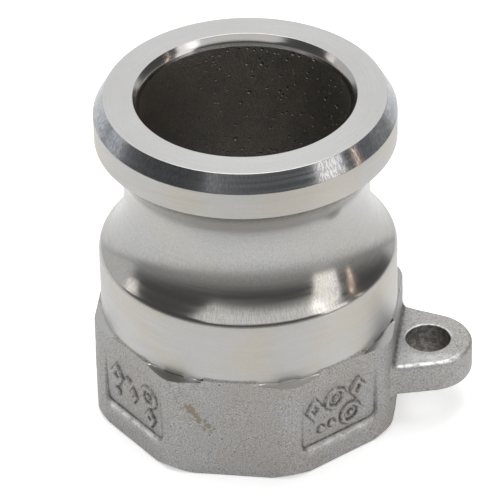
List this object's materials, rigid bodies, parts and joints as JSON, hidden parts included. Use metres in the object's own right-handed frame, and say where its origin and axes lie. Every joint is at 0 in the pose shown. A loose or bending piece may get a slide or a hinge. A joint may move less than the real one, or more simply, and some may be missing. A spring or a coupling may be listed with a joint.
{
  "type": "cam and groove hose coupling adapter",
  "caption": "Male cam-and-groove adapter: turned plug with a cam groove over an eight-sided cast base with a female pipe thread and a tether lug.",
  "frame": {"origin": "middle of the bounding box's footprint, on the base face; the bore and thread axis is parallel to Z at x = -6.75 mm, y = 0", "axes": "+Z along the bore from the threaded base to the plug's sealing face, +X towards the tether lug"},
  "size_m": [0.0672, 0.0538, 0.0638],
  "materials": {
    "stainless_steel": "fine-turned satin on the plug, matt blasted casting on the base and lug"
  },
  "bodies": {
    "root": {"adapter_body": "stainless_steel"}
  },
  "joints": []
}
